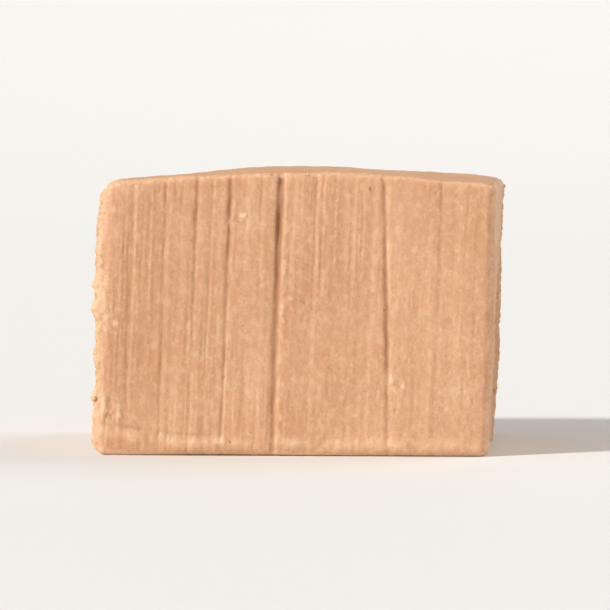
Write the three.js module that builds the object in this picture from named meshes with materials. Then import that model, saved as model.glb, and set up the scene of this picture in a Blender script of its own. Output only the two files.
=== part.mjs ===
// A piece of toffee fudge, cut with a knife from a poured slab.
// Millimetres, +Z up. The origin is on the surface that the piece rests on, under its middle.
// The front (-Y) is a clean cut with the blade's marks running from top to bottom, and the
// back is cut by the same blade. The left side, and the right side towards the back, tore as
// they parted. The top is the slab's poured face, slightly domed, and the underside is flat.
import * as THREE from "three";
import { mergeVertices } from "three/addons/utils/BufferGeometryUtils.js";

// Driving dimensions of the block
const width = 25.0;
const depth = 24.0;
const height = 17.3; // at the shoulders, below the crown of the top

// The block isn't true: its top is domed and lower on the right, and it leans to the right
const crown = {
  rise: 0.9,
  place: 0.12, // of the half width, right of the middle
  fallAcross: 0.8, // of the rise, at the left and right edges
  fallBack: 0.2, // of the rise, at the front and back edges
};
const rightDrop = 0.3;
const lean = 0.7;

// Radii of the edges, along each axis, at each end of it
const edge = {
  left: 1.2,
  right: 0.65,
  front: 0.55,
  back: 0.8,
  top: 1.15,
  bottom: 0.85,
  sharpShare: 0.42, // the top and bottom edges are this much sharper, away from the left side
  sharpFrom: 1.0,
  sharpTo: 4.5,
  uneven: 0.3, // how much a radius varies along its edge
  unevenOver: 12.0,
};

// Marks of the blade's nicks: distance from the left edge, depth and half width
const bladeMarks = [
  { fromLeft: 2.1, depth: 0.06, half: 0.17 },
  { fromLeft: 4.2, depth: 0.06, half: 0.17 },
  { fromLeft: 6.1, depth: 0.11, half: 0.17 },
  { fromLeft: 8.2, depth: 0.15, half: 0.19 },
  { fromLeft: 11.4, depth: 0.25, half: 0.24 },
  { fromLeft: 13.6, depth: 0.06, half: 0.17 },
  { fromLeft: 18.3, depth: 0.16, half: 0.19 },
  { fromLeft: 21.5, depth: 0.05, half: 0.2 },
];
const markFade = 0.45; // a mark's depth at the bottom, as a share of that at the top
const backShare = 0.6; // the same marks are shallower on the back
const steepness = 1.5; // of the bell-shaped sides of a mark or a nib

// Nibs that the blade dragged out of the front left edge: height, reach and half height
const nibs = [
  { up: 2.4, reach: 0.2, half: 0.55 },
  { up: 3.7, reach: 0.32, half: 0.6 },
  { up: 6.3, reach: 0.14, half: 0.6 },
  { up: 9.4, reach: 0.34, half: 0.65 },
  { up: 10.9, reach: 0.26, half: 0.55 },
];
const nibZone = { from: 0.3, to: 1.6 }; // behind the front, the nibs die away over this

// Swells: gentle waves of every face, and the deeper, drawn-out hollows of the torn ones
const swells = [
  { along: new THREE.Vector3(0.9, 0.3, 0.5), phase: 0.4 },
  { along: new THREE.Vector3(-0.5, 0.8, 0.6), phase: 2.1 },
  { along: new THREE.Vector3(0.3, -0.7, 1.1), phase: 3.9 },
  { along: new THREE.Vector3(1.2, 0.6, -0.7), phase: 5.2 },
  { along: new THREE.Vector3(0.2, 1.4, 0.3), phase: 1.3 },
];
const unevenness = { rise: 0.22, wavelength: 16.0 };
const hollows = { depth: 0.34, wavelength: 5.0, stretch: 1.8, level: 0.1 };
const dragged = new THREE.Vector3(0.4, 0.5, 0.8).normalize(); // the way that the hollows are drawn out
const tornOnTheRight = { from: -1.5, to: 2.5 }; // the right side turns from cut to torn here, along Y
const topShare = 0.25; // the poured top has the same hollows, much shallower

// The underside stays flat: the relief comes in over this part of a bottom edge's turn
const underEdge = { from: -0.95, to: -0.3 };

// The grid that carries the relief
const edgeLines = [0, 0.2, 0.5, 0.9, 1.4];
const largestGap = 1.4;
const faintMark = 0.1; // a mark no deeper than this gets one grid line in place of three
const weldDistance = 1e-4;

const { clamp, lerp, smoothstep } = THREE.MathUtils;

// Positions of the grid lines along one axis: dense at both ends, and at the given places
function gridLines(length, places) {
  const lines = edgeLines.flatMap((d) => [d, length - d]);
  const clear = edgeLines[edgeLines.length - 1];
  lines.push(...places.filter((place) => place > clear && place < length - clear));
  lines.sort((a, b) => a - b);
  return lines.flatMap((line, i) => {
    const gap = (lines[i + 1] ?? line) - line;
    const steps = Math.max(1, Math.ceil(gap / largestGap));
    return Array.from({ length: steps }, (_, k) => line + (gap * k) / steps);
  });
}

const aroundMark = ({ fromLeft, depth, half }) =>
  depth > faintMark ? [fromLeft - half, fromLeft, fromLeft + half] : [fromLeft];
const aroundNib = ({ up, half }) => [up - half, up, up + half];
const xLines = gridLines(width, bladeMarks.flatMap(aroundMark));
const yLines = gridLines(depth, []);
const zLines = gridLines(height, nibs.flatMap(aroundNib));

// A coordinate of the even box grid, moved to its line, from -length/2 to length/2
function toLine(value, length, lines) {
  const index = Math.round((value / length + 0.5) * (lines.length - 1));
  return lines[index] - length / 2;
}

// Waves in many directions at once, from -1 to 1, which don't repeat within the piece
function swell(point, wavelength) {
  const turn = (2 * Math.PI) / wavelength;
  const waves = swells.map(({ along, phase }) => Math.sin(turn * along.dot(point) + phase));
  return waves.reduce((total, wave) => total + wave, 0) / waves.length;
}

// A bell-shaped rise from 0 to 1 and back, at the given place
const bell = (value, place, half) => Math.exp(-steepness * ((value - place) / half) ** 2);

// Rounds the block's edges. Gives the point and the way the surface faces there.
function rounded(p) {
  const fromLeft = p.x + width / 2;
  const sharper = lerp(1, edge.sharpShare, smoothstep(fromLeft, edge.sharpFrom, edge.sharpTo));
  const radius = new THREE.Vector3(
    p.x < 0 ? edge.left : edge.right,
    p.y < 0 ? edge.front : edge.back,
    (p.z > 0 ? edge.top : edge.bottom) * sharper,
  ).multiplyScalar(1 + edge.uneven * swell(p, edge.unevenOver));
  const half = new THREE.Vector3(width, depth, height).multiplyScalar(0.5);
  const beyond = new THREE.Vector3();
  const flat = new THREE.Vector3();
  for (const axis of ["x", "y", "z"]) {
    const straight = half[axis] - radius[axis];
    flat[axis] = clamp(p[axis], -straight, straight);
    beyond[axis] = (p[axis] - flat[axis]) / radius[axis];
  }
  const most = Math.max(...beyond.toArray().map(Math.abs));
  const facing = beyond.clone().normalize();
  const point = facing.clone().multiplyScalar(most).multiply(radius).add(flat);
  return { point, facing: facing.divide(radius).normalize() };
}

// Depth of the blade's marks on the front and, shallower, on the back
function markDepth(point, facing) {
  const share = facing.y ** 2 * (facing.y < 0 ? 1 : backShare);
  const fade = lerp(markFade, 1, clamp(point.z / height + 0.5, 0, 1));
  const fromLeft = point.x + width / 2;
  const marks = bladeMarks.map((mark) => mark.depth * bell(fromLeft, mark.fromLeft, mark.half));
  return share * fade * marks.reduce((total, mark) => total + mark, 0);
}

// Reach of the nibs, out of the front left edge alone
function nibReach(point, facing) {
  const behind = point.y + depth / 2;
  const share = Math.max(0, -facing.x) * (1 - smoothstep(behind, nibZone.from, nibZone.to));
  const up = point.z + height / 2;
  const reaches = nibs.map((nib) => nib.reach * bell(up, nib.up, nib.half));
  return share * reaches.reduce((total, reach) => total + reach, 0);
}

// Depth of the hollows where the fudge tore, and of the poured top's shallow ones
function hollowDepth(point, facing) {
  const left = Math.max(0, -facing.x) ** 2;
  const right = Math.max(0, facing.x) ** 2 * smoothstep(point.y, tornOnTheRight.from, tornOnTheRight.to);
  const top = topShare * Math.max(0, facing.z) ** 2;
  const along = dragged.dot(point) * (1 - 1 / hollows.stretch);
  const drawnOut = point.clone().addScaledVector(dragged, -along);
  const wave = swell(drawnOut, hollows.wavelength);
  return (left + right + top) * hollows.depth * Math.max(0, wave - hollows.level);
}

// The finished place of a point of the block's grid
function shaped(p) {
  const { point, facing } = rounded(p);
  const out = nibReach(point, facing) + unevenness.rise * swell(point, unevenness.wavelength);
  const relief = out - markDepth(point, facing) - hollowDepth(point, facing);
  const offTheTable = smoothstep(facing.z, underEdge.from, underEdge.to);
  const placed = point.clone().addScaledVector(facing, relief * offTheTable);
  const up = placed.z / height + 0.5;
  const side = placed.x / (width / 2);
  const away = placed.y / (depth / 2);
  const fall = crown.fallAcross * (side - crown.place) ** 2 + crown.fallBack * away ** 2;
  const top = height + crown.rise * (1 - fall) - (rightDrop * (side + 1)) / 2;
  return placed.set(placed.x + lean * (up - 0.5), placed.y, top * up);
}

// The whole piece: a box grid whose points are all moved to their finished places
function fudgeGeometry() {
  const steps = [xLines, yLines, zLines].map((lines) => lines.length - 1);
  const box = new THREE.BoxGeometry(width, depth, height, ...steps);
  const position = box.getAttribute("position");
  const p = new THREE.Vector3();
  for (let i = 0; i < position.count; i++) {
    p.fromBufferAttribute(position, i);
    p.x = toLine(p.x, width, xLines);
    p.y = toLine(p.y, depth, yLines);
    p.z = toLine(p.z, height, zLines);
    position.setXYZ(i, ...shaped(p));
  }
  box.deleteAttribute("normal");
  box.deleteAttribute("uv");
  const piece = mergeVertices(box, weldDistance);
  piece.computeBoundingBox();
  const { min, max } = piece.boundingBox;
  piece.translate(-(min.x + max.x) / 2, -(min.y + max.y) / 2, -min.z);
  piece.computeVertexNormals();
  return piece;
}

const toffeeFudge = new THREE.MeshStandardMaterial({
  color: 0xcf9a70,
  roughness: 0.62,
  metalness: 0,
});

const fudge = new THREE.Mesh(fudgeGeometry(), toffeeFudge);
fudge.name = "fudge_cube";

const model = new THREE.Group();
model.add(fudge);

export default model;
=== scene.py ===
# A piece of toffee fudge on a pale table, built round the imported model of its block
import math
from functools import partial

import bpy
from mathutils import Matrix, Vector


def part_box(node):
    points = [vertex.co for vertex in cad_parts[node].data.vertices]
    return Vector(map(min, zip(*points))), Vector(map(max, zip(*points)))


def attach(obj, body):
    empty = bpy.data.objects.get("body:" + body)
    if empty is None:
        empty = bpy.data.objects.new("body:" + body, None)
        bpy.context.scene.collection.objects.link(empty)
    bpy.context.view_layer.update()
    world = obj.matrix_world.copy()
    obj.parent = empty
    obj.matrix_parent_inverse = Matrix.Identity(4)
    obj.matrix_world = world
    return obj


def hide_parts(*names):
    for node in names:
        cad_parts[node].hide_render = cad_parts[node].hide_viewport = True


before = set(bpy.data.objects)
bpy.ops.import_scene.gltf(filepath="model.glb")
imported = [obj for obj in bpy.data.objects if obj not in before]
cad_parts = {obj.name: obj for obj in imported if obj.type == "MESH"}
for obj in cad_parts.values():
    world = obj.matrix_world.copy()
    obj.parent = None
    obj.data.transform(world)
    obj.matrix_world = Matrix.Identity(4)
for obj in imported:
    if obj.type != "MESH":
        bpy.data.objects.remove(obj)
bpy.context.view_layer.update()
nodeName = "fudge_cube"

# The node trees work in millimetres, and the finished meshes are in metres
mm = 0.001

# Kinds of node, by what they do here
calc, vector, ramp, blend = "ShaderNodeMath", "ShaderNodeVectorMath", "ShaderNodeMapRange", "ShaderNodeMix"
noise, cells = "ShaderNodeTexNoise", "ShaderNodeTexVoronoi"
splitXYZ, joinXYZ = "ShaderNodeSeparateXYZ", "ShaderNodeCombineXYZ"
readField, storeField = "GeometryNodeInputNamedAttribute", "GeometryNodeStoreNamedAttribute"
setPlace, group = "GeometryNodeSetPosition", "GeometryNodeGroup"
smoothly = {"interpolation_type": "SMOOTHSTEP"}
patternRoughness = 0.58


def linear(hexColour):
    channels = [int(hexColour[i:i + 2], 16) / 255 for i in (1, 3, 5)]
    return [c / 12.92 if c <= 0.04045 else ((c + 0.055) / 1.055) ** 2.4 for c in channels] + [1.0]


# Adds a node with its settings. An input is a value, a socket, or a node for its first output.
def addNode(tree, kind, inputs={}, **settings):
    node = tree.nodes.new(kind)
    for name, value in settings.items():
        setattr(node, name, value)
    for key, value in inputs.items():
        if isinstance(value, bpy.types.Node):
            value = next(socket for socket in value.outputs if socket.enabled)
        if isinstance(value, bpy.types.NodeSocket):
            tree.links.new(value, node.inputs[key])
        else:
            node.inputs[key].default_value = value
    return node


# The inputs of a ramp: as a value goes from start to end, the result goes from low to high
def between(start, end, low=0.0, high=1.0):
    return {1: start, 2: end, 3: low, 4: high}


# A node tree whose named inputs are the plain float sizes in a piece's dictionary
def newTree(name, sizes):
    tree = bpy.data.node_groups.new(name, "GeometryNodeTree")
    for way in ("INPUT", "OUTPUT"):
        tree.interface.new_socket("Geometry", in_out=way, socket_type="NodeSocketGeometry")
    for size, value in sizes.items():
        if isinstance(value, float):
            tree.interface.new_socket(size, in_out="INPUT", socket_type="NodeSocketFloat")
    return tree, addNode(tree, "NodeGroupInput")


def endTree(tree, geometry, material):
    real = addNode(tree, "GeometryNodeRealizeInstances", {0: geometry})
    dressed = addNode(tree, "GeometryNodeSetMaterial", {"Geometry": real, "Material": material})
    addNode(tree, "NodeGroupOutput", {0: dressed})


# Puts a tree on a piece, with each size given by its socket's identifier
def giveTree(piece, tree, sizes):
    modifier = piece.modifiers.new(tree.name, "NODES")
    modifier.node_group = tree
    for item in tree.interface.items_tree:
        if item.in_out == "INPUT" and item.name in sizes:
            modifier[item.identifier] = sizes[item.name]


# An object in the scene, with an empty mesh unless its data is given
def newObject(name, data=None):
    thing = bpy.data.objects.new(name, data or bpy.data.meshes.new(name))
    bpy.context.scene.collection.objects.link(thing)
    return thing


# Turns what the modifiers make into the piece's own mesh
def keepResult(piece):
    evaluated = piece.evaluated_get(bpy.context.evaluated_depsgraph_get())
    mesh = bpy.data.meshes.new_from_object(evaluated)
    piece.modifiers.clear()
    piece.data = mesh
    mesh.name = piece.name
    mesh.shade_smooth()


# The sum of products of two
def addSum(add, products):
    total = 0.0
    for one, other in products:
        total = add(calc, {0: one, 1: other, 2: total}, operation="MULTIPLY_ADD")
    return total


def addProduct(add, first, *others):
    total = first
    for other in others:
        total = add(calc, {0: total, 1: other}, operation="MULTIPLY")
    return total


# A bell-shaped rise from 0 to 1 and back, where the value is at its place
def addBell(add, at, value, place, half):
    off = add(calc, {0: value, 1: place}, operation="SUBTRACT")
    ratio = add(calc, {0: off, 1: half}, operation="DIVIDE")
    return add(calc, {0: addProduct(add, ratio, ratio, at["minusSteepness"])}, operation="EXPONENT")


# An uneven pattern of the given size, from -0.5 to 0.5
def addPattern(add, point, size, detail):
    scale = add(calc, {0: 1.0, 1: size}, operation="DIVIDE")
    pattern = add(noise, {"Vector": point, "Scale": scale, "Detail": detail, "Roughness": patternRoughness})
    return add(calc, {0: pattern, 1: 0.5}, operation="SUBTRACT")


# The point, squeezed along one way, so that a pattern there is drawn out along it
def addSqueeze(add, point, way, stretch):
    along = add(vector, {0: point, 1: way}, operation="DOT_PRODUCT")
    kept = add(calc, {0: 1.0, 1: stretch}, operation="DIVIDE")
    share = add(calc, {0: kept, 1: 1.0}, operation="SUBTRACT")
    shift = add(vector, {0: way, "Scale": addProduct(add, along, share)}, operation="SCALE")
    return add(vector, {0: point, 1: shift}, operation="ADD")


# 1 where a surface faces straight along an axis, or against it with MINIMUM, and 0 beyond its sides
def addFacing(add, along, limit="MAXIMUM"):
    clipped = add(calc, {0: along, 1: 0.0}, operation=limit)
    return add(calc, {0: clipped, 1: 2.0}, operation="POWER")


# The largest of a direction's three parts, whatever their signs
def addLargestPart(add, direction):
    parts = add(splitXYZ, {0: add(vector, {0: direction}, operation="ABSOLUTE")}).outputs
    most = add(calc, {0: parts["X"], 1: parts["Y"]}, operation="MAXIMUM")
    return add(calc, {0: most, 1: parts["Z"]}, operation="MAXIMUM")


# Stores the fields that later trees and the material read
def addStored(add, geometry, fields):
    for name, value in fields.items():
        geometry = add(storeField, {"Geometry": geometry, "Name": name, "Value": value})
    return geometry


# The block: the poured slab's height, between two cuts and two torn sides

block = {
    "width": 25.0,
    "depth": 24.0,
    "height": 17.3,
    "spacingX": 0.07,  # between the points that carry the relief
    "spacingY": 0.12,
    "spacingZ": 0.12,
    "left": 1.2, "right": 0.65, "front": 0.55, "back": 0.8, "top": 1.15, "bottom": 0.85,  # edge radii
    "sharpShare": 0.42,  # the top and bottom edges are this much sharper, away from the left side
    "sharpFrom": 1.0,
    "sharpTo": 4.5,
    "uneven": 0.3,  # how much a radius varies along its edge
    "unevenOver": 12.0,
    "triangles": 190000,
}
slab = {
    "crownRise": 0.9,  # of the domed top
    "crownPlace": 0.12,  # of the half width, right of the middle
    "fallAcross": 0.8,  # of the rise, at the left and right edges
    "fallBack": 0.2,
    "rightDrop": 0.3,
    "lean": 0.7,
    "rise": 0.22,  # of the slow unevenness of every face
    "wavelength": 16.0,
}
swells = [
    ((0.9, 0.3, 0.5), 0.4),  # a wave's way and phase
    ((-0.5, 0.8, 0.6), 2.1),
    ((0.3, -0.7, 1.1), 3.9),
    ((1.2, 0.6, -0.7), 5.2),
    ((0.2, 1.4, 0.3), 1.3),
]
bottom, shoulder = -block["height"] / 2, block["height"] / 2


# Waves in many directions at once, from -1 to 1
def makeSwellGroup():
    tree = bpy.data.node_groups.new("swell", "GeometryNodeTree")
    tree.interface.new_socket("point", in_out="INPUT", socket_type="NodeSocketVector")
    tree.interface.new_socket("wavelength", in_out="INPUT", socket_type="NodeSocketFloat")
    tree.interface.new_socket("swell", in_out="OUTPUT", socket_type="NodeSocketFloat")
    add = partial(addNode, tree)
    given = add("NodeGroupInput")
    turn = add(calc, {0: math.tau, 1: given.outputs["wavelength"]}, operation="DIVIDE")
    total = 0.0
    for along, phase in swells:
        dot = add(vector, {0: given.outputs["point"], 1: along}, operation="DOT_PRODUCT")
        angle = add(calc, {0: dot, 1: turn, 2: phase}, operation="MULTIPLY_ADD")
        total = add(calc, {0: add(calc, {0: angle}, operation="SINE"), 1: total}, operation="ADD")
    mean = add(calc, {0: total, 1: len(swells)}, operation="DIVIDE")
    add("NodeGroupOutput", {0: mean})
    return tree


# A box grid with each edge rounded by its own radius. Stores the way each point faces.
def makeBlockTree(swellGroup, material):
    tree, given = newTree("fudge block", block)
    add = partial(addNode, tree)
    sizes = given.outputs
    size = add(joinXYZ, {0: sizes["width"], 1: sizes["depth"], 2: sizes["height"]})
    counts = {
        "Vertices " + axis: add(calc, {0: sizes[side], 1: sizes["spacing" + axis]}, operation="DIVIDE")
        for axis, side in (("X", "width"), ("Y", "depth"), ("Z", "height"))
    }
    box = add("GeometryNodeMeshCube", {"Size": size, **counts})
    point = add("GeometryNodeInputPosition")
    place = add(splitXYZ, {0: point}).outputs

    # The radius along each axis, at the end of it where the point is
    radii = []
    for axis, low, high in (("X", "left", "right"), ("Y", "front", "back"), ("Z", "bottom", "top")):
        atHigh = add(calc, {0: place[axis], 1: 0.0}, operation="GREATER_THAN")
        radii.append(add(blend, {0: atHigh, 2: sizes[low], 3: sizes[high]}))
    fromLeft = add(calc, {0: sizes["width"], 1: 0.5, 2: place["X"]}, operation="MULTIPLY_ADD")
    sharpening = between(sizes["sharpFrom"], sizes["sharpTo"], 1.0, sizes["sharpShare"])
    sharper = add(ramp, {0: fromLeft, **sharpening}, **smoothly)
    radii[2] = addProduct(add, radii[2], sharper)
    swell = add(group, {"point": point, "wavelength": sizes["unevenOver"]}, node_tree=swellGroup)
    vary = add(calc, {0: swell, 1: sizes["uneven"], 2: 1.0}, operation="MULTIPLY_ADD")
    evenRadius = add(joinXYZ, dict(enumerate(radii)))
    radius = add(vector, {0: evenRadius, "Scale": vary}, operation="SCALE")

    # How far into the edges the point is, in radii, and its rounded place
    half = add(vector, {0: size, "Scale": 0.5}, operation="SCALE")
    straight = add(vector, {0: half, 1: radius}, operation="SUBTRACT")
    otherWay = add(vector, {0: straight, "Scale": -1.0}, operation="SCALE")
    notBeyond = add(vector, {0: point, 1: straight}, operation="MINIMUM")
    flat = add(vector, {0: notBeyond, 1: otherWay}, operation="MAXIMUM")
    past = add(vector, {0: point, 1: flat}, operation="SUBTRACT")
    beyond = add(vector, {0: past, 1: radius}, operation="DIVIDE")
    unit = add(vector, {0: beyond}, operation="NORMALIZE")
    reach = add(vector, {0: unit, "Scale": addLargestPart(add, beyond)}, operation="SCALE")
    rounded = add(vector, {0: reach, 1: radius, 2: flat}, operation="MULTIPLY_ADD")
    slope = add(vector, {0: unit, 1: radius}, operation="DIVIDE")
    facing = add(vector, {0: slope}, operation="NORMALIZE")

    stored = add(storeField, {"Geometry": box, "Name": "facing", "Value": facing}, data_type="FLOAT_VECTOR")
    endTree(tree, add(setPlace, {"Geometry": stored, "Position": rounded}), material)
    return tree


# The cuts: marks of the blade's nicks, the fine lines and torn specks between them, the nibs
# that it dragged out of the front left edge, and the places where the face crumbled or flaked

bladeMarks = [  # fromLeft and darkest are places on the front, across and up; darkest is where a mark's painted shade is strongest
    {"fromLeft": 2.1, "depth": 0.06, "half": 0.17, "slant": 0.1, "darkest": 9.0},
    {"fromLeft": 4.2, "depth": 0.06, "half": 0.17, "slant": 0.0, "darkest": 5.0},
    {"fromLeft": 6.1, "depth": 0.11, "half": 0.17, "slant": 0.05, "darkest": 16.0},
    {"fromLeft": 7.1, "depth": 0.05, "half": 0.14, "slant": 0.0, "darkest": 15.0},
    {"fromLeft": 8.2, "depth": 0.15, "half": 0.19, "slant": 0.0, "darkest": 15.5},
    {"fromLeft": 11.4, "depth": 0.25, "half": 0.24, "slant": -0.1, "darkest": 14.5},
    {"fromLeft": 13.6, "depth": 0.06, "half": 0.17, "slant": 0.1, "darkest": 13.0},
    {"fromLeft": 18.3, "depth": 0.16, "half": 0.19, "slant": -0.9, "darkest": 9.0},
    {"fromLeft": 21.5, "depth": 0.05, "half": 0.2, "slant": 0.0, "darkest": 12.0},
]
nibs = [
    {"up": 2.4, "reach": 0.2, "half": 0.55},
    {"up": 3.7, "reach": 0.32, "half": 0.6},
    {"up": 6.3, "reach": 0.14, "half": 0.6},
    {"up": 9.4, "reach": 0.34, "half": 0.65},
    {"up": 10.9, "reach": 0.26, "half": 0.55},
]
flakes = [
    {"fromLeft": 18.9, "up": 4.7, "radius": 0.36, "rise": 0.16},
    {"fromLeft": 9.1, "up": 14.6, "radius": 0.34, "rise": 0.12},
    {"fromLeft": 1.3, "up": 8.3, "radius": 0.34, "rise": 0.14},
    {"fromLeft": 8.3, "up": 0.9, "radius": 0.38, "rise": 0.14},
    {"fromLeft": 0.75, "up": 3.0, "radius": 0.3, "rise": 0.2, "tall": 3.0},
    {"fromLeft": 1.7, "up": 2.6, "radius": 0.2, "rise": 0.12, "tall": 3.6},
    {"fromLeft": 0.5, "up": 10.2, "radius": 0.26, "rise": 0.18, "tall": 2.4},
    {"fromLeft": 12.3, "up": 9.6, "radius": 0.22, "rise": 0.08},
    {"fromLeft": 19.6, "up": 4.3, "radius": 0.24, "rise": 0.1},
]
crumbled = [
    {"fromLeft": 23.0, "up": 3.9, "radius": 2.2},
    {"fromLeft": 9.2, "up": 14.2, "radius": 1.3},
    {"fromLeft": 18.7, "up": 4.8, "radius": 1.2},
    {"fromLeft": 0.6, "up": 3.0, "radius": 2.0},
    {"fromLeft": 0.3, "up": 9.5, "radius": 1.7},
]
spotShape = {"core": 0.2, "wobble": 2.0}  # shares of a spot's radius: its full part, and its uneven outline
drawnDown = (0.0, 0.0, 1.0)  # the way that the blade went
bladeCut = {  # a row of four is a ramp, as in between()
    "markFade": 0.45,  # a mark's depth at the bottom, as a share of that at the top
    "markSides": (0.0, 0.5, 0.0, 1.0),  # the marks come in as a face turns to the front or back
    "markSkips": (0.35, 0.62, 0.35, 1.2), "markSkipScale": 0.9, "markSkipStretch": 2.0,
    "backShare": 0.6,  # the same marks are shallower on the back
    "steepness": 1.5,  # of the bell-shaped sides of a mark, a nib or the lip
    "jitter": 0.22, "jitterSize": 0.5, "jitterStretch": 2.5,
    "burrShare": 0.4,  # of a mark's depth, raised beside it
    "burrAside": (2.0, 0.7),  # its place and half width, in the mark's half widths
    "burrBreaks": (-0.02, 0.16, 0.0, 1.2), "burrBreakSize": 0.6,
    "darkReach": 5.5,  # up and down from where the painted shade in a mark is darkest
    "darkLeast": 0.35,
    "bandDepth": 0.2, "bandSize": 2.6, "bandStretch": 30.0,
    "stripeDepth": 0.15, "stripeSize": 0.6, "stripeStretch": 45.0,
    "lineDepth": 0.1, "lineSize": 0.2, "lineStretch": 35.0,
    "skips": (-0.18, 0.18, 0.1, 1.6),  # stretches where the stripes and lines are stronger or fainter
    "skipSize": 4.2, "skipStretch": 2.0,
    "pressLeft": 1.4, "pressRight": 0.8,  # they are stronger towards the left
    "pressFrom": 3.0, "pressTo": 16.0,
    "speckDepth": 0.09, "speckSize": 0.4, "speckStretch": 1.15, "speckSlope": 0.1,
    "speckPatches": (-0.08, 0.1, 0.21, 0.12), "speckPatchSize": 3.0,  # more specks in some places
    "wobbleSize": 0.4,
    "lumpDepth": 0.3, "lumpSize": 0.42,
    "flakeShare": 0.75,
    "lipUp": 0.7, "lipHalf": 0.45, "lipReach": 0.14, "lipSize": 1.7,
    "lipBreaks": (-0.15, 0.15, 0.1, 1.3),
    "lipRise": 0.75, "lipRiseOver": 4.5,  # at the left the lip is higher up
    "creaseUp": 0.6, "creaseHalf": 0.2, "creaseDepth": 0.07,  # above the lip
    "creaseFrom": 3.0, "creaseTo": 10.0,  # it dies away over this, from the left
    "rimFrom": 0.3, "rimWidth": 1.3, "rimShare": 0.8,  # of the crumbly strip along the left edge
    "nibFrom": 0.3, "nibTo": 1.6,  # behind the front, the nibs die away over this
    "nibRagSize": 0.4, "nibRag": 3.0,
    "tornFrom": -1.5, "tornTo": 2.5,  # the right side turns from cut to torn here, along Y
    "borderFrom": 0.36, "borderTo": 0.6,  # of that change, the part where the drag marks begin
    "borderSize": 3.6, "borderShift": 9.0,  # how far it strays from a straight line
    "ridge": 0.06,  # raised there
    "poresFrom": -3.2, "poresTo": 2.5,  # pores open one by one over this, along Y
}


# 1 at a spot on the front and 0 at its radius from there, with an uneven outline
def addSpot(add, point, spot, wobble):
    middle = (spot["fromLeft"] - block["width"] / 2, -block["depth"] / 2, spot["up"] - block["height"] / 2)
    fromMiddle = add(vector, {0: point, 1: middle}, operation="SUBTRACT")
    flatter = (1.0, 1.0, 1 / spot.get("tall", 1.0))
    flattened = add(vector, {0: fromMiddle, 1: flatter}, operation="MULTIPLY")
    away = add(vector, {0: flattened}, operation="LENGTH")
    strays = spot["radius"] * spotShape["wobble"]
    uneven = add(calc, {0: wobble, 1: strays, 2: away}, operation="MULTIPLY_ADD")
    falling = between(spotShape["core"] * spot["radius"], spot["radius"], 1.0, 0.0)
    return add(ramp, {0: uneven, **falling}, **smoothly)


# Where the piece is torn: all of the left side, and the right side beyond an uneven border
def addTornParts(add, sizes, at):
    border = addPattern(add, at["point"], sizes["borderSize"], 4.0)
    beyond = add(calc, {0: border, 1: sizes["borderShift"], 2: at["Y"]}, operation="MULTIPLY_ADD")
    turned = add(ramp, {0: beyond, **between(sizes["tornFrom"], sizes["tornTo"])})
    tornBack = add(ramp, {0: turned, **between(sizes["borderFrom"], sizes["borderTo"])}, **smoothly)
    opening = add(ramp, {0: beyond, **between(sizes["poresFrom"], sizes["poresTo"])})
    untorn = add(calc, {0: 1.0, 1: tornBack}, operation="SUBTRACT")
    return {
        "torn": add(calc, {0: at["right"], 1: tornBack, 2: at["left"]}, operation="MULTIPLY_ADD"),
        "porous": add(calc, {0: at["right"], 1: opening, 2: at["left"]}, operation="MULTIPLY_ADD"),
        "ridge": addProduct(add, tornBack, untorn, 4.0, at["right"]),  # 1 halfway through the change
    }


# The marks, each with a broken burr beside it and painted shade in its groove. They fade and skip on the way
# down.
def addMarks(add, sizes, at):
    side = add(blend, {0: at["isFront"], 2: sizes["backShare"], 3: 1.0})
    markShare = addProduct(add, add(ramp, {0: at["front"], **between(*bladeCut["markSides"])}), side)
    fade = add(ramp, {0: at["Z"], **between(bottom, shoulder, sizes["markFade"], 1.0)})
    skipPlace = addSqueeze(add, at["point"], drawnDown, sizes["markSkipStretch"])
    skips = add(noise, {"Vector": skipPlace, "Scale": sizes["markSkipScale"], "Detail": 4.0})
    skip = add(ramp, {0: skips, **between(*bladeCut["markSkips"])})
    share = addProduct(add, fade, skip, markShare)

    up = add(calc, {0: at["Z"], 1: block["height"]}, operation="DIVIDE")
    jitterPlace = addSqueeze(add, at["point"], drawnDown, sizes["jitterStretch"])
    jitter = addPattern(add, jitterPlace, sizes["jitterSize"], 3.0)
    shaken = add(calc, {0: jitter, 1: sizes["jitter"], 2: at["fromLeft"]}, operation="MULTIPLY_ADD")
    burrPlace, burrHalf = bladeCut["burrAside"]
    grooves, burrs, darks = [], [], []
    for mark in bladeMarks:
        across = add(calc, {0: up, 1: -mark["slant"], 2: shaken}, operation="MULTIPLY_ADD")
        groove = addBell(add, at, across, mark["fromLeft"], mark["half"])
        beside = mark["fromLeft"] + burrPlace * mark["half"]
        burr = addBell(add, at, across, beside, burrHalf * mark["half"])
        # Painted shade in each groove, strongest at its darkest height and fainter above and below
        near = addBell(add, at, at["Z"], mark["darkest"] + bottom, sizes["darkReach"])
        dark = add(ramp, {0: near, **between(0.0, 1.0, sizes["darkLeast"], 1.0)})
        grooves.append((groove, mark["depth"]))
        burrs.append((burr, mark["depth"]))
        darks.append((addProduct(add, dark, groove), mark["depth"]))
    breaks = addPattern(add, at["point"], sizes["burrBreakSize"], 3.0)
    broken = add(ramp, {0: breaks, **between(*bladeCut["burrBreaks"])})
    return {
        "cut": addProduct(add, addSum(add, grooves), share),
        "mark": addProduct(add, addSum(add, darks), markShare),
        "burr": addProduct(add, addSum(add, burrs), share, broken),
    }


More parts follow.
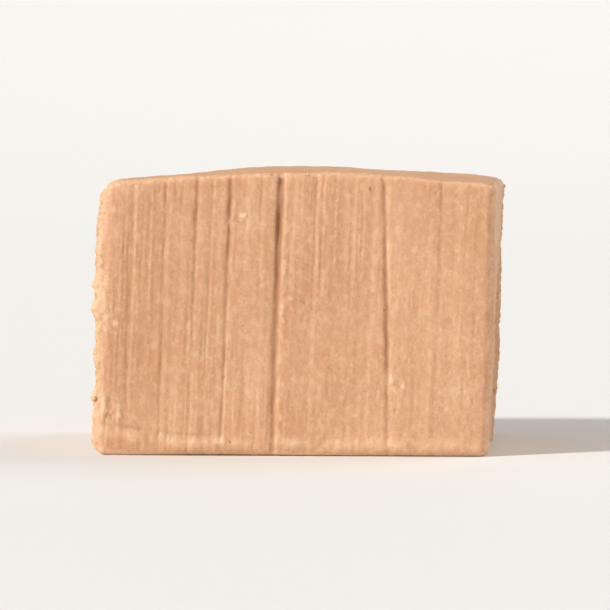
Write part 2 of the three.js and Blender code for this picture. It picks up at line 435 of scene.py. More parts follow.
# Bands, stripes and lines: ever finer, and all drawn down the face
def addDrawnLines(add, sizes, at):
    lines = {}
    for name, detail in (("band", 1.0), ("stripe", 3.0), ("line", 2.0)):
        squeezed = addSqueeze(add, at["point"], drawnDown, sizes[name + "Stretch"])
        lines[name] = addPattern(add, squeezed, sizes[name + "Size"], detail)
    skipPlace = addSqueeze(add, at["point"], drawnDown, sizes["skipStretch"])
    skips = addPattern(add, skipPlace, sizes["skipSize"], 3.0)
    skip = add(ramp, {0: skips, **between(*bladeCut["skips"])})
    pressing = between(sizes["pressFrom"], sizes["pressTo"], sizes["pressLeft"], sizes["pressRight"])
    pressed = addProduct(add, skip, add(ramp, {0: at["fromLeft"], **pressing}))
    for name in ("stripe", "line"):
        lines[name] = addProduct(add, lines[name], pressed)
    return lines


# Specks torn out of the cut, more in some places than in others
def addSpecks(add, sizes, at):
    patches = addPattern(add, at["point"], sizes["speckPatchSize"], 2.0)
    start = add(ramp, {0: patches, **between(*bladeCut["speckPatches"])})
    end = add(calc, {0: start, 1: sizes["speckSlope"]}, operation="ADD")
    squeezed = addSqueeze(add, at["point"], drawnDown, sizes["speckStretch"])
    pattern = addPattern(add, squeezed, sizes["speckSize"], 3.0)
    return add(ramp, {0: pattern, **between(start, end)})


# Where the front crumbled, along its left edge too, and its flakes
def addCrumbled(add, sizes, at):
    wobble = addPattern(add, at["point"], sizes["wobbleSize"], 3.0)
    crumble, flaked, flakeRise = 0.0, 0.0, 0.0
    for spot in crumbled:
        there = addSpot(add, at["point"], spot, wobble)
        crumble = add(calc, {0: there, 1: crumble}, operation="MAXIMUM")
    for spot in flakes:
        there = addSpot(add, at["point"], spot, wobble)
        flaked = add(calc, {0: there, 1: flaked}, operation="MAXIMUM")
        flakeRise = add(calc, {0: there, 1: spot["rise"], 2: flakeRise}, operation="MULTIPLY_ADD")
    rimFall = between(sizes["rimFrom"], sizes["rimWidth"], sizes["rimShare"], 0.0)
    rim = add(ramp, {0: at["fromLeft"], **rimFall}, **smoothly)
    crumble = add(calc, {0: crumble, 1: rim}, operation="MAXIMUM")
    lumps = addProduct(add, addPattern(add, at["point"], sizes["lumpSize"], 2.0), crumble)
    return {"crumble": crumble, "flake": flaked}, flakeRise, lumps


# The lip along the bottom of the front, and the crease above it
def addLip(add, sizes, at):
    higher = addBell(add, at, at["fromLeft"], 0.0, sizes["lipRiseOver"])
    up = add(calc, {0: higher, 1: sizes["lipRise"], 2: sizes["lipUp"]}, operation="MULTIPLY_ADD")
    place = add(calc, {0: up, 1: bottom}, operation="ADD")
    whole = addBell(add, at, at["Z"], place, sizes["lipHalf"])
    breaks = addPattern(add, at["point"], sizes["lipSize"], 4.0)
    broken = add(ramp, {0: breaks, **between(*bladeCut["lipBreaks"])})
    above = add(calc, {0: place, 1: sizes["creaseUp"]}, operation="ADD")
    fold = addBell(add, at, at["Z"], above, sizes["creaseHalf"])
    dying = add(ramp, {0: at["fromLeft"], **between(sizes["creaseFrom"], sizes["creaseTo"], 1.0, 0.0)})
    return {
        "lip": addProduct(add, whole, broken, at["isFront"]),
        "crease": addProduct(add, addProduct(add, fold, broken), addProduct(add, dying, at["isFront"])),
    }


# The nibs, out of the front left edge alone
def addNibs(add, sizes, at):
    bells = [(addBell(add, at, at["Z"], nib["up"] + bottom, nib["half"]), nib["reach"]) for nib in nibs]
    leftward = add(calc, {0: addProduct(add, at["alongX"], -1.0), 1: 0.0}, operation="MAXIMUM")
    behind = add(calc, {0: at["Y"], 1: block["depth"] / 2}, operation="ADD")
    near = add(ramp, {0: behind, **between(sizes["nibFrom"], sizes["nibTo"], 1.0, 0.0)}, **smoothly)
    rag = addPattern(add, at["point"], sizes["nibRagSize"], 3.0)
    ragged = add(calc, {0: rag, 1: sizes["nibRag"], 2: 1.0}, operation="MULTIPLY_ADD")
    return addProduct(add, addSum(add, bells), addProduct(add, leftward, near, ragged))


def makeBladeTree(material):
    tree, given = newTree("blade cut", bladeCut)
    add = partial(addNode, tree)
    sizes = given.outputs
    point = add("GeometryNodeInputPosition")
    place = add(splitXYZ, {0: point}).outputs
    facing = add(readField, {"Name": "facing"}, data_type="FLOAT_VECTOR")
    faces = add(splitXYZ, {0: facing}).outputs
    at = {
        "point": point, "Y": place["Y"], "Z": place["Z"],
        "fromLeft": add(calc, {0: place["X"], 1: block["width"] / 2}, operation="ADD"),
        "alongX": faces["X"],
        "right": addFacing(add, faces["X"]),
        "left": addFacing(add, faces["X"], "MINIMUM"),
        "front": add(calc, {0: faces["Y"], 1: 2.0}, operation="POWER"),  # and the back
        "isFront": add(calc, {0: faces["Y"], 1: 0.0}, operation="LESS_THAN"),
        "minusSteepness": addProduct(add, -1.0, sizes["steepness"]),
    }
    tearing = addTornParts(add, sizes, at)
    upright = add(calc, {0: at["front"], 1: at["right"]}, operation="ADD")
    upright = add(calc, {0: upright, 1: at["left"]}, operation="ADD")
    cutFace = add(calc, {0: upright, 1: tearing["torn"]}, operation="SUBTRACT")
    marks = addMarks(add, sizes, at)
    lines = addDrawnLines(add, sizes, at)
    specks = addProduct(add, addSpecks(add, sizes, at), cutFace)
    spots, flakeRise, lumps = addCrumbled(add, sizes, at)
    lips = addLip(add, sizes, at)
    nib = addNibs(add, sizes, at)

    onCut = addSum(add, (
        (lines["band"], sizes["bandDepth"]),
        (lines["stripe"], sizes["stripeDepth"]),
        (lines["line"], sizes["lineDepth"]),
        (lumps, sizes["lumpDepth"]),
        (lips["lip"], sizes["lipReach"]),
        (lips["crease"], addProduct(add, sizes["creaseDepth"], -1.0)),
        (flakeRise, sizes["flakeShare"])))
    relief = addSum(add, (
        (onCut, cutFace),
        (nib, 1.0),
        (tearing["ridge"], sizes["ridge"]),
        (marks["burr"], sizes["burrShare"]),
        (marks["cut"], -1.0),
        (specks, addProduct(add, sizes["speckDepth"], -1.0))))

    fields = {"cutFace": cutFace, **tearing, "nib": nib, "mark": marks["mark"], "speck": specks,
              **lines, "burr": marks["burr"], **spots, **lips}
    kept = addStored(add, sizes["Geometry"], fields)
    offset = add(vector, {0: facing, "Scale": relief}, operation="SCALE")
    endTree(tree, add(setPlace, {"Geometry": kept, "Offset": offset}), material)
    return tree


# Where the fudge tore, the grain of all its faces, and its ragged edges

tornFaces = {  # a row of four is a ramp, as in between()
    "hollowDepth": 0.34, "hollowLength": 5.0, "hollowStretch": 1.8, "hollowLevel": 0.1,
    "topShare": 0.25,  # the poured top has the same hollows, much shallower
    "lumpDepth": 0.45, "lumpSize": 0.95,
    "dragDepth": 0.3, "dragSize": 0.3, "dragStretch": 3.2,
    "poreDepth": 0.36, "poreSize": 0.5, "poreStretch": 2.4, "poreSlope": 0.08,
    "porePatches": (-0.12, 0.12, 0.13, 0.04), "porePatchSize": 3.2,  # more pores in some places
    "poreClosing": (0.0, 1.0, 0.22, 0.0),  # fewer pores where it has hardly torn yet
    "poreSides": (0.05, 0.3, 0.0, 1.0),
    "bubbleDepth": 0.13, "bubbleSize": 0.7,
    "bubbleRadii": (0.0, 1.0, 0.02, 0.19), "bubblePower": 4.0,  # most of them are small
    "bubbleCore": 0.4,  # of its radius, where a bubble is at its deepest
    "bubbleShake": (0.25, 0.25, 0.25), "bubbleShakeScale": 3.0,
    "bubbleOnCut": 0.2, "bubbleOnTop": 0.8,  # shares of the depth; the top has both
    "rippleDepth": 0.25, "rippleSize": 2.8,
    "grainDepth": 0.2, "grainSize": 0.26,
    "grainOnCut": 0.4, "grainOnTop": 0.3,  # shares of the torn faces' grain
    "raggedDepth": 0.9, "raggedSize": 0.6,
    "raggedLoss": 0.04,  # an edge loses more than it gains
    "arris": (0.995, 0.8, 0.0, 1.0),
    "arrisCorners": (0.05, 0.4, 0.35, 1.0),  # raggedest where the cut meets the torn left side
    "offTable": (-0.95, -0.3, 0.0, 1.0),  # the relief comes in over this part of a bottom edge's turn
}
dragged = Vector((0.4, 0.5, 0.8)).normalized()  # the way that the pores and drag marks are drawn out


# Wide hollows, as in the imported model
def addHollows(add, sizes, at, swellGroup):
    squeezed = addSqueeze(add, at["point"], dragged, sizes["hollowStretch"])
    swell = add(group, {"point": squeezed, "wavelength": sizes["hollowLength"]}, node_tree=swellGroup)
    over = add(calc, {0: swell, 1: sizes["hollowLevel"]}, operation="SUBTRACT")
    over = add(calc, {0: over, 1: 0.0}, operation="MAXIMUM")
    share = add(calc, {0: at["top"], 1: sizes["topShare"], 2: at["torn"]}, operation="MULTIPLY_ADD")
    return addProduct(add, over, share)


# Pores, opened along the drag marks in patches
def addPores(add, sizes, at):
    porous = add(readField, {"Name": "porous"})
    closed = add(ramp, {0: porous, **between(*tornFaces["poreClosing"])})
    patches = addPattern(add, at["point"], sizes["porePatchSize"], 2.0)
    patch = add(ramp, {0: patches, **between(*tornFaces["porePatches"])})
    start = add(calc, {0: patch, 1: closed}, operation="ADD")
    end = add(calc, {0: start, 1: sizes["poreSlope"]}, operation="ADD")
    squeezed = addSqueeze(add, at["point"], dragged, sizes["poreStretch"])
    pattern = addPattern(add, squeezed, sizes["poreSize"], 2.0)
    pore = add(ramp, {0: pattern, **between(start, end)}, **smoothly)
    return addProduct(add, pore, add(ramp, {0: porous, **between(*tornFaces["poreSides"])}))


# Small bubbles of all sizes, burst at the surface
def addBubbles(add, sizes, at):
    scale = add(calc, {0: 1.0, 1: sizes["bubbleSize"]}, operation="DIVIDE")
    shaking = add(noise, {"Vector": at["point"], "Scale": sizes["bubbleShakeScale"], "Detail": 2.0})
    shaken = add(vector, {0: shaking.outputs["Color"], 1: tornFaces["bubbleShake"], 2: at["point"]},
                 operation="MULTIPLY_ADD")
    bubbleCells = add(cells, {"Vector": shaken, "Scale": scale})
    draw = add(splitXYZ, {0: bubbleCells.outputs["Color"]}).outputs["X"]
    mostlySmall = add(calc, {0: draw, 1: sizes["bubblePower"]}, operation="POWER")
    radius = add(ramp, {0: mostlySmall, **between(*tornFaces["bubbleRadii"])})
    core = addProduct(add, radius, sizes["bubbleCore"])
    bubble = add(ramp, {0: bubbleCells.outputs["Distance"], **between(core, radius, 1.0, 0.0)}, **smoothly)
    share = add(calc, {0: at["top"], 1: sizes["bubbleOnTop"], 2: sizes["bubbleOnCut"]},
                operation="MULTIPLY_ADD")
    return addProduct(add, bubble, share)


def makeTearTree(swellGroup, material):
    tree, given = newTree("torn faces", tornFaces)
    add = partial(addNode, tree)
    sizes = given.outputs
    facing = add(readField, {"Name": "facing"}, data_type="FLOAT_VECTOR")
    faces = add(splitXYZ, {0: facing}).outputs
    at = {
        "point": add("GeometryNodeInputPosition"),
        "torn": add(readField, {"Name": "torn"}),
        "top": addFacing(add, faces["Z"]),
    }
    hollow = addHollows(add, sizes, at, swellGroup)
    lumps = addPattern(add, at["point"], sizes["lumpSize"], 2.0)
    squeezed = addSqueeze(add, at["point"], dragged, sizes["dragStretch"])
    drags = addPattern(add, squeezed, sizes["dragSize"], 2.0)
    pores = addPores(add, sizes, at)
    ripples = addPattern(add, at["point"], sizes["rippleSize"], 2.0)
    bubbles = addBubbles(add, sizes, at)

    # Grain of crystals, coarser where it tore
    smooth = add(ramp, {0: at["top"], **between(0.0, 1.0, sizes["grainOnCut"], sizes["grainOnTop"])})
    grainShare = add(ramp, {0: at["torn"], **between(0.0, 1.0, smooth, 1.0)})
    grains = addProduct(add, addPattern(add, at["point"], sizes["grainSize"], 2.0), grainShare)

    # Ragged edges
    arris = add(ramp, {0: addLargestPart(add, facing), **between(*tornFaces["arris"])}, **smoothly)
    corner = addProduct(add, faces["X"], faces["Y"])
    raggedShare = add(ramp, {0: corner, **between(*tornFaces["arrisCorners"])})
    even = addPattern(add, at["point"], sizes["raggedSize"], 3.0)
    rag = add(calc, {0: even, 1: sizes["raggedLoss"]}, operation="SUBTRACT")
    ragged = addProduct(add, rag, arris, raggedShare)

    # All of it together, except on the underside, which stays flat
    raised = addSum(add, (
        (addProduct(add, lumps, at["torn"]), sizes["lumpDepth"]),
        (addProduct(add, drags, at["torn"]), sizes["dragDepth"]),
        (addProduct(add, ripples, at["top"]), sizes["rippleDepth"]),
        (ragged, sizes["raggedDepth"]),
        (grains, sizes["grainDepth"])))
    sunk = addSum(add, (
        (hollow, sizes["hollowDepth"]),
        (pores, sizes["poreDepth"]),
        (bubbles, sizes["bubbleDepth"])))
    relief = add(calc, {0: raised, 1: sunk}, operation="SUBTRACT")
    offTable = add(ramp, {0: faces["Z"], **between(*tornFaces["offTable"])}, **smoothly)
    fields = {"pore": pores, "bubble": bubbles, "drag": drags, "lump": lumps, "ripple": ripples,
              "arris": arris, "offTable": offTable}
    kept = addStored(add, sizes["Geometry"], fields)
    offset = add(vector, {0: facing, "Scale": addProduct(add, relief, offTable)}, operation="SCALE")
    endTree(tree, add(setPlace, {"Geometry": kept, "Offset": offset}), material)
    return tree


# The slab's own shape: slow unevenness, the domed top, its fall to the right, and the lean
def makeSlabTree(swellGroup, material):
    tree, given = newTree("slab shape", slab)
    add = partial(addNode, tree)
    sizes = given.outputs
    point = add("GeometryNodeInputPosition")
    facing = add(readField, {"Name": "facing"}, data_type="FLOAT_VECTOR")
    swell = add(group, {"point": point, "wavelength": sizes["wavelength"]}, node_tree=swellGroup)
    rise = addProduct(add, swell, sizes["rise"], add(readField, {"Name": "offTable"}))
    offset = add(vector, {0: facing, "Scale": rise}, operation="SCALE")
    uneven = add(setPlace, {"Geometry": sizes["Geometry"], "Offset": offset})

    place = add(splitXYZ, {0: point}).outputs
    up = add(calc, {0: place["Z"], 1: 1 / block["height"], 2: 0.5}, operation="MULTIPLY_ADD")
    side = add(calc, {0: place["X"], 1: block["width"] / 2}, operation="DIVIDE")
    away = add(calc, {0: place["Y"], 1: block["depth"] / 2}, operation="DIVIDE")
    offCrown = add(calc, {0: side, 1: sizes["crownPlace"]}, operation="SUBTRACT")
    fall = addProduct(add, offCrown, offCrown, sizes["fallAcross"])
    awaySquared = addProduct(add, away, away)
    fall = add(calc, {0: awaySquared, 1: sizes["fallBack"], 2: fall}, operation="MULTIPLY_ADD")
    left = add(calc, {0: 1.0, 1: fall}, operation="SUBTRACT")
    crowned = add(calc, {0: left, 1: sizes["crownRise"], 2: block["height"]}, operation="MULTIPLY_ADD")
    toRight = add(calc, {0: side, 1: 0.5, 2: 0.5}, operation="MULTIPLY_ADD")
    drop = addProduct(add, toRight, sizes["rightDrop"])
    height = add(calc, {0: crowned, 1: drop}, operation="SUBTRACT")
    aboveMiddle = add(calc, {0: up, 1: 0.5}, operation="SUBTRACT")
    shaped = add(joinXYZ, {
        0: add(calc, {0: aboveMiddle, 1: sizes["lean"], 2: place["X"]}, operation="MULTIPLY_ADD"),
        1: place["Y"],
        2: addProduct(add, height, up)})
    endTree(tree, add(setPlace, {"Geometry": uneven, "Position": shaped}), material)
    return tree


# Crumbs that cling to the edges and the torn faces

crumbs = {  # a row of four is a ramp, as in between()
    "density": 2.2,  # for each square millimetre, where they are thickest
    "atCorners": (0.1, 0.4, 0.2, 1.0),  # thickest on the edges where a cut meets a torn side
    "onTorn": 0.16, "onBorder": 0.5, "onCut": 0.025,  # shares of the density
    "clusters": (-0.05, 0.15, 0.0, 1.0), "clusterSize": 1.6,
    "smallest": 0.05, "largest": 0.26, "sizePower": 3.0,  # most of them are small
    "thinnest": (0.6, 0.7, 0.5), "fullest": (1.2, 1.1, 1.0),  # each is squashed its own way
    "lumpSize": 0.14,
    "lumpDepth": 1.1,  # of a crumb's radius
    "seed": 7,
}


def makeCrumbTree(fudge, material):
    tree, given = newTree("crumbs", crumbs)
    add = partial(addNode, tree)
    sizes = given.outputs
    whole = add("GeometryNodeObjectInfo", {"Object": fudge}).outputs["Geometry"]
    facing = add(splitXYZ, {0: add(readField, {"Name": "facing"}, data_type="FLOAT_VECTOR")}).outputs
    corner = addProduct(add, facing["X"], facing["Y"])
    place = add("GeometryNodeInputPosition")
    clusters = addPattern(add, place, sizes["clusterSize"], 2.0)
    clustered = add(ramp, {0: clusters, **between(*crumbs["clusters"])})
    share = addSum(add, (
        (add(readField, {"Name": "arris"}), add(ramp, {0: corner, **between(*crumbs["atCorners"])})),
        (add(readField, {"Name": "torn"}), sizes["onTorn"]),
        (add(readField, {"Name": "ridge"}), sizes["onBorder"]),
        (add(readField, {"Name": "cutFace"}), sizes["onCut"])))
    density = addProduct(add, share, clustered, add(readField, {"Name": "offTable"}), sizes["density"])
    scattered = add("GeometryNodeDistributePointsOnFaces", {
        "Mesh": whole, "Density": density, "Seed": crumbs["seed"]})

    # Each is turned and squashed its own way, then dented
    draw = add("FunctionNodeRandomValue", {"Min": 0.0, "Max": 1.0, "Seed": crumbs["seed"]}, data_type="FLOAT")
    mostlySmall = add(calc, {0: draw, 1: sizes["sizePower"]}, operation="POWER")
    radius = add(ramp, {0: mostlySmall, **between(0.0, 1.0, sizes["smallest"], sizes["largest"])})
    turn = add("FunctionNodeRandomValue", {
        0: (0.0, 0.0, 0.0), 1: (math.tau,) * 3, "Seed": crumbs["seed"] + 1}, data_type="FLOAT_VECTOR")
    squash = add("FunctionNodeRandomValue", {
        0: crumbs["thinnest"], 1: crumbs["fullest"], "Seed": crumbs["seed"] + 2}, data_type="FLOAT_VECTOR")
    sized = add(storeField, {"Geometry": scattered.outputs["Points"], "Name": "radius", "Value": radius})
    ownRadius = add(readField, {"Name": "radius"})
    scale = add(vector, {0: squash, "Scale": ownRadius}, operation="SCALE")
    pebble = add("GeometryNodeMeshIcoSphere", {"Radius": 1.0, "Subdivisions": 2})
    placed = add("GeometryNodeInstanceOnPoints", {
        "Points": sized, "Instance": pebble.outputs["Mesh"], "Rotation": turn, "Scale": scale})
    real = add("GeometryNodeRealizeInstances", {0: placed})
    lumps = addPattern(add, place, sizes["lumpSize"], 1.0)
    dent = addProduct(add, lumps, sizes["lumpDepth"], ownRadius)
    offset = add(vector, {0: add("GeometryNodeInputNormal"), "Scale": dent}, operation="SCALE")
    endTree(tree, add(setPlace, {"Geometry": real, "Offset": offset}), material)
    return tree


# Toffee fudge: sugar, cream and butter boiled and beaten until they grain. Fine crystals in
# fat let light in a little way, the blade smears the fat to a satin face, and a tear is matt.
fudgeLook = {
    "smeared": "#DEB08B",
    # A darker tone of the fudge; on the torn faces and the top it is also the painted shade in the low places
    "deep": "#C4906A",
    "torn": "#C99770",
    "poured": "#C8966F",
    # Painted shade for the insides of the pores and the burst bubbles
    "pore": "#7C4E32",
    # Painted shade for the blade grooves, the crease, the torn-out specks and the low places of the drag
    # marks
    "mark": "#9F643E",
    # Paler crumbled fudge, and the painted highlights on edges, nibs, burrs, the lip, flakes, drag ridges and
    # crystal specks
    "pale": "#E8C39E",
    "warm": "#CE8F64",
    "roughCut": 0.52,
    "roughTorn": 0.75,
    "roughPoured": 0.64,
    "roughLines": 0.5,
    "grainSize": 0.17,  # mm, coarser than the real crystals, which are too fine to show
    "grainHeight": 0.06,
    "grainOnCut": 0.5, "grainOnTorn": 1.0,
    "speckleOnCut": 0.3, "speckleOnTorn": 0.65,
    "mottleSize": 0.42, "mottleStretch": 1.3,
    "cloudSize": 7.0,
    "blushSize": 4.0, "blushShift": (40.0, 0.0, 0.0),
    "scatter": 0.8,  # mm that light goes into it
    "scatterShare": 0.45,
}
glow = (1.0, 0.5, 0.25)  # red light goes furthest into fudge
sugarIOR = 1.47
fudgeFields = ("cutFace", "torn", "nib", "mark", "speck", "band", "stripe", "line", "burr",
               "crumble", "flake", "lip", "crease", "pore", "bubble", "drag", "lump", "ripple", "arris")

# Tones laid over each face's own: a field, where it starts and ends, the most it covers, the tone
fudgeTones = {
    "cut": (
        ("cloud", -0.15, 0.2, 0.5, "deep"),
        ("band", -0.15, 0.15, 0.4, "deep"),
        ("stripe", 0.1, -0.2, 0.55, "deep"),
        ("line", 0.05, -0.2, 0.3, "deep"),
        ("mottle", 0.0, -0.25, 0.4, "deep"),
        ("mottle", 0.0, 0.25, 0.5, "pale"),
        # paler crystals where the grain stands highest, partly painted glints
        ("grain", 0.12, 0.3, 0.4, "pale")),
    "torn": (
        # painted shade in the low places of the lumps and drag marks, and a painted highlight on the drag
        # ridges
        ("lump", 0.0, -0.2, 0.4, "deep"),
        ("drag", -0.05, -0.25, 0.5, "mark"),
        ("drag", 0.05, 0.25, 0.5, "pale")),
    "poured": (
        ("cloud", -0.15, 0.2, 0.5, "smeared"),
        # painted shade in the troughs of the ripples
        ("ripple", 0.1, -0.2, 0.7, "deep"),
        # paler crystals where the grain stands highest, partly painted glints
        ("grain", 0.1, 0.3, 0.35, "pale")),
    "all": (  # painted shade in the marks, crease, specks, pores and bubbles; pale where it crumbled, and painted highlights where it stands proud
        ("blush", 0.0, 0.22, 0.2, "warm"),
        # painted shade in the blade grooves
        ("mark", 0.02, 0.14, 0.75, "mark"),
        # painted shade in the crease above the lip and in the torn-out specks
        ("crease", 0.2, 1.0, 0.25, "mark"),
        ("speck", 0.1, 0.8, 0.18, "mark"),
        # painted shade inside the pores and the burst bubbles
        ("pore", 0.1, 1.0, 0.6, "pore"),
        ("bubble", 0.1, 0.9, 0.22, "pore"),
        # painted highlights on the raised burrs, the nibs and the lip
        ("burr", 0.01, 0.15, 0.5, "pale"),
        ("nib", 0.02, 0.16, 0.6, "pale"),
        ("cutLip", 0.1, 1.0, 0.4, "pale"),
        ("grainyCrumble", 0.1, 0.7, 0.35, "pale"),
        # paler crumbled fudge on the flakes and edges, with painted highlights where they catch light
        ("flake", 0.1, 0.9, 0.7, "pale"),
        ("grainyArris", 0.1, 0.7, 0.7, "pale")),
}


# Lays tones over a colour: each where its field goes from start to end, as far as its share
def layTones(add, colour, fields, tones, layers):
    for field, start, end, share, tone in layers:
        part = add(ramp, {0: fields[field], **between(start, end, 0.0, share)})
        colour = add(blend, {0: part, 6: colour, 7: tones[tone]}, data_type="RGBA").outputs[2]
    return colour


# An empty material, the way to add nodes to it, and the place on the piece in millimetres
def newMaterial(name):
    material = bpy.data.materials.new(name)
    material.use_nodes = True
    material.node_tree.nodes.clear()
    add = partial(addNode, material.node_tree)
    own = add("ShaderNodeTexCoord").outputs["Object"]
    return material, add, add(vector, {0: own, "Scale": 1 / mm}, operation="SCALE")


# The shader, which lets light in as far as the look says
def endMaterial(add, look, inputs):
    shader = add("ShaderNodeBsdfPrincipled", {
        "IOR": sugarIOR, "Subsurface Weight": look["scatterShare"], "Subsurface Radius": glow,
        "Subsurface Scale": look["scatter"] * mm, **inputs})
    add("ShaderNodeOutputMaterial", {"Surface": shader})


def makeFudgeMaterial():
    material, add, place = newMaterial("toffee fudge, cut and torn")
    look = fudgeLook
    tones = {name: linear(value) for name, value in look.items() if isinstance(value, str)}
    on = {name: add("ShaderNodeAttribute", attribute_name=name).outputs["Fac"] for name in fudgeFields}
    on["cloud"] = addPattern(add, place, look["cloudSize"], 3.0)
    on["grain"] = addPattern(add, place, look["grainSize"], 3.0)
    drawnOut = addSqueeze(add, place, drawnDown, look["mottleStretch"])
    on["mottle"] = addPattern(add, drawnOut, look["mottleSize"], 5.0)
    elsewhere = add(vector, {0: place, 1: look["blushShift"]}, operation="ADD")
    on["blush"] = addPattern(add, elsewhere, look["blushSize"], 3.0)
    grainy = add(calc, {0: on["grain"], 1: 0.5}, operation="ADD")
    # Masks for the painted highlight on the lip and the partly painted highlight on the edges; the crumbled
    # places are paler fudge
    on["cutLip"] = addProduct(add, on["lip"], on["cutFace"])
    on["grainyCrumble"] = addProduct(add, on["crumble"], grainy)
    on["grainyArris"] = addProduct(add, on["arris"], grainy)

    # The smeared cut, the torn face and the poured top have tones of their own
    cut = layTones(add, tones["smeared"], on, tones, fudgeTones["cut"])
    tear = layTones(add, tones["torn"], on, tones, fudgeTones["torn"])
    poured = layTones(add, tones["poured"], on, tones, fudgeTones["poured"])
    colour = add(blend, {0: on["cutFace"], 6: poured, 7: cut}, data_type="RGBA").outputs[2]
    colour = add(blend, {0: on["torn"], 6: colour, 7: tear}, data_type="RGBA").outputs[2]
    contrast = add(ramp, {0: on["torn"], **between(0.0, 1.0, look["speckleOnCut"], look["speckleOnTorn"])})
    speckle = add(calc, {0: on["grain"], 1: contrast, 2: 1.0}, operation="MULTIPLY_ADD")
    speckles = add(joinXYZ, {0: speckle, 1: speckle, 2: speckle})
    colour = add(blend, {0: 1.0, 6: colour, 7: speckles}, data_type="RGBA", blend_type="MULTIPLY").outputs[2]
    colour = layTones(add, colour, on, tones, fudgeTones["all"])

    untorn = add(ramp, {0: on["cutFace"], **between(0.0, 1.0, look["roughPoured"], look["roughCut"])})
    rough = add(ramp, {0: on["torn"], **between(0.0, 1.0, untorn, look["roughTorn"])})
    rough = add(calc, {0: on["line"], 1: look["roughLines"], 2: rough}, operation="MULTIPLY_ADD")
    relief = add(ramp, {0: on["torn"], **between(0.0, 1.0, look["grainOnCut"], look["grainOnTorn"])})
    bump = add("ShaderNodeBump", {
        "Height": on["grain"], "Distance": look["grainHeight"] * mm, "Strength": relief})
    endMaterial(add, look, {"Base Color": colour, "Roughness": rough, "Normal": bump})
    return material


# Crumbs of the same fudge: broken crystals with little fat on them, so paler and quite matt
crumbLook = {"pale": "#E0B68E", "deep": "#C5936A", "grainSize": 0.3, "rough": 0.8,
             "scatter": 0.3, "scatterShare": 0.25}
crumbTones = (("grain", -0.15, 0.15, 1.0, "deep"),)


def makeCrumbMaterial():
    material, add, place = newMaterial("toffee fudge, crumbled")
    tones = {name: linear(crumbLook[name]) for name in ("pale", "deep")}
    on = {"grain": addPattern(add, place, crumbLook["grainSize"], 2.0)}
    colour = layTones(add, tones["pale"], on, tones, crumbTones)
    endMaterial(add, crumbLook, {"Base Color": colour, "Roughness": crumbLook["rough"]})
    return material


# The piece itself

fudgeMaterial = makeFudgeMaterial()
swellGroup = makeSwellGroup()
fudge = newObject("toffee_fudge_piece")
giveTree(fudge, makeBlockTree(swellGroup, fudgeMaterial), block)
giveTree(fudge, makeBladeTree(fudgeMaterial), bladeCut)
giveTree(fudge, makeTearTree(swellGroup, fudgeMaterial), tornFaces)
giveTree(fudge, makeSlabTree(swellGroup, fudgeMaterial), slab)
sides = {"X": "width", "Y": "depth", "Z": "height"}
across, back, up = (block[side] / block["spacing" + axis] for axis, side in sides.items())
thin = fudge.modifiers.new("fewer triangles on flat stretches", "DECIMATE")
thin.ratio = min(1.0, block["triangles"] / (4 * (across * back + back * up + across * up)))
keepResult(fudge)
crumbPiece = newObject("fudge_crumbs")
giveTree(crumbPiece, makeCrumbTree(fudge, makeCrumbMaterial()), crumbs)
keepResult(crumbPiece)

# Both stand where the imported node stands, in metres
low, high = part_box(nodeName)
corners = [Vector(corner) * mm for corner in fudge.bound_box]
middle = (low + high) / 2
shift = middle - (corners[0] + corners[6]) / 2
shift.z = low.z - corners[0].z
for piece in (fudge, crumbPiece):
    piece.data.transform(Matrix.Translation(shift) @ Matrix.Scale(mm, 4))
    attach(piece, "root")
    print(piece.name, len(piece.data.polygons), "faces")
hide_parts(nodeName)


# The table, the light and the camera

table = {"flat": 0.9, "rim": 3.0, "rise": 1.1, "rings": 24, "sides": 96,
         "colour": "#EDEBE7", "roughness": 0.7}
studio = {
    "world": "#F5F3F0",
    "worldStrength": 0.38,
    "suns": {  # in degrees
        "key": {"azimuth": -52, "elevation": 34, "spread": 8, "strength": 3.0},
        "fill": {"azimuth": 125, "elevation": 38, "spread": 45, "strength": 0.8},
    },
}
shot = {"azimuth": 3.5, "elevation": 2.0, "lens": 250.0, "sensor": 36.0,
        "frameWidth": 0.040, "clip": (0.01, 20.0)}


# A point at an azimuth from the front (-Y) and an elevation, in degrees
def aroundMiddle(azimuth, elevation, distance):
    a, e = math.radians(azimuth), math.radians(elevation)
    return middle + distance * Vector((math.sin(a) * math.cos(e), -math.cos(a) * math.cos(e), math.sin(e)))


def lookAtMiddle(thing, place):
    thing.location = place
    thing.rotation_euler = (middle - place).to_track_quat("-Z", "Y").to_euler()


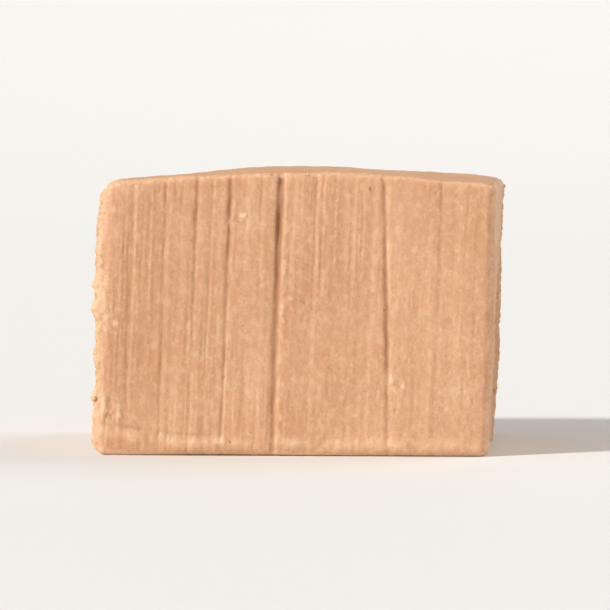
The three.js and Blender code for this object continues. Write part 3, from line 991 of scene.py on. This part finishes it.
# A wide dish, flat in the middle, so that no horizon shows behind the fudge from any side.
# Its laminate was pressed against a matt plate, so its sheen is broad and faint.
def makeTable():
    sides = table["sides"]
    ring = [(math.cos(math.tau * i / sides), math.sin(math.tau * i / sides)) for i in range(sides)]
    points, faces = [(0.0, 0.0, 0.0)], [(0, 1 + i, 1 + (i + 1) % sides) for i in range(sides)]
    for k in range(table["rings"]):
        turn = k / (table["rings"] - 1) * math.pi / 2
        radius = table["flat"] + (table["rim"] - table["flat"]) * math.sin(turn)
        points += [(radius * x, radius * y, table["rise"] * (1 - math.cos(turn))) for x, y in ring]
        start = 1 + k * sides
        if k > 0:
            faces += [(start - sides + i, start + i, start + (i + 1) % sides, start - sides + (i + 1) % sides)
                      for i in range(sides)]
    mesh = bpy.data.meshes.new("pale_table")
    mesh.from_pydata(points, [], faces)
    mesh.shade_smooth()
    top = newObject("pale_table", mesh)
    laminate = bpy.data.materials.new("pale matt laminate")
    laminate.use_nodes = True
    shader = laminate.node_tree.nodes["Principled BSDF"]
    shader.inputs["Base Color"].default_value = linear(table["colour"])
    shader.inputs["Roughness"].default_value = table["roughness"]
    mesh.materials.append(laminate)


def makeStudio():
    world = bpy.data.worlds.new("pale studio")
    world.use_nodes = True
    background = world.node_tree.nodes["Background"]
    background.inputs["Color"].default_value = linear(studio["world"])
    background.inputs["Strength"].default_value = studio["worldStrength"]
    bpy.context.scene.world = world
    for name, sun in studio["suns"].items():
        data = bpy.data.lights.new(name, "SUN")
        data.angle = math.radians(sun["spread"])
        data.energy = sun["strength"]
        lookAtMiddle(newObject(name, data), aroundMiddle(sun["azimuth"], sun["elevation"], 1.0))


def makeCamera():
    data = bpy.data.cameras.new("camera")
    data.lens = shot["lens"]
    data.sensor_width = shot["sensor"]
    data.clip_start, data.clip_end = shot["clip"]
    camera = newObject("camera", data)
    distance = shot["frameWidth"] * shot["lens"] / shot["sensor"]
    lookAtMiddle(camera, aroundMiddle(shot["azimuth"], shot["elevation"], distance))
    bpy.context.scene.camera = camera


makeTable()
makeStudio()
makeCamera()
bpy.context.scene.view_settings.view_transform = "Standard"
print("table, lights and camera: done")
